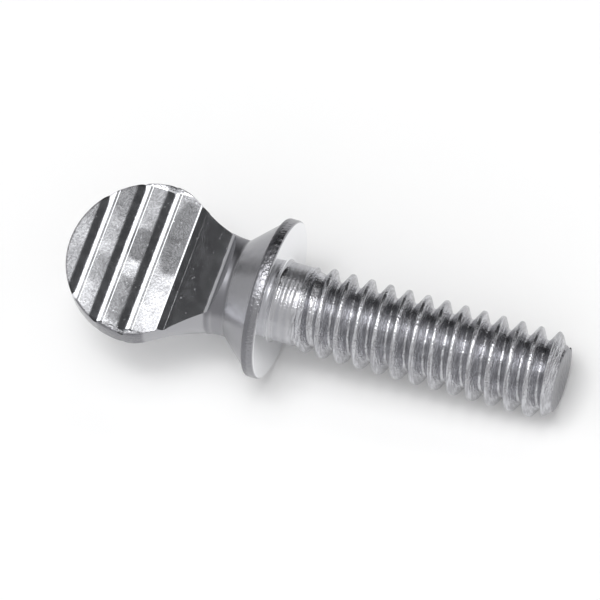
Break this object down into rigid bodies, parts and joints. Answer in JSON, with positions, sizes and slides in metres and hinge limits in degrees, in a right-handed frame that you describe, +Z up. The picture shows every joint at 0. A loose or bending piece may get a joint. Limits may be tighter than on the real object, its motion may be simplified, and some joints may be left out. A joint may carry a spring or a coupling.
{
  "type": "thumb screw",
  "caption": "Metal thumb screw with a flat ribbed round head on a waisted neck, a conical collar with a flat bearing face, and a coarse right-hand machine thread with a chamfered end.",
  "frame": {"origin": "centre of the bounding box's bottom, on the surface that the screw lies on", "axes": "+X along the screw towards its tip, dipping to the surface by 7.5 degrees; +Z up, off the flat of the head; Y across the head's flat, along its grooves"},
  "size_m": [0.028, 0.009, 0.0088],
  "materials": {
    "plated_steel": "bright nickel plating on carbon steel, smooth on the collar's bearing face and thread, slightly mottled on the pressed flats of the head"
  },
  "bodies": {
    "root": {"thumb_screw": "plated_steel"}
  },
  "joints": []
}
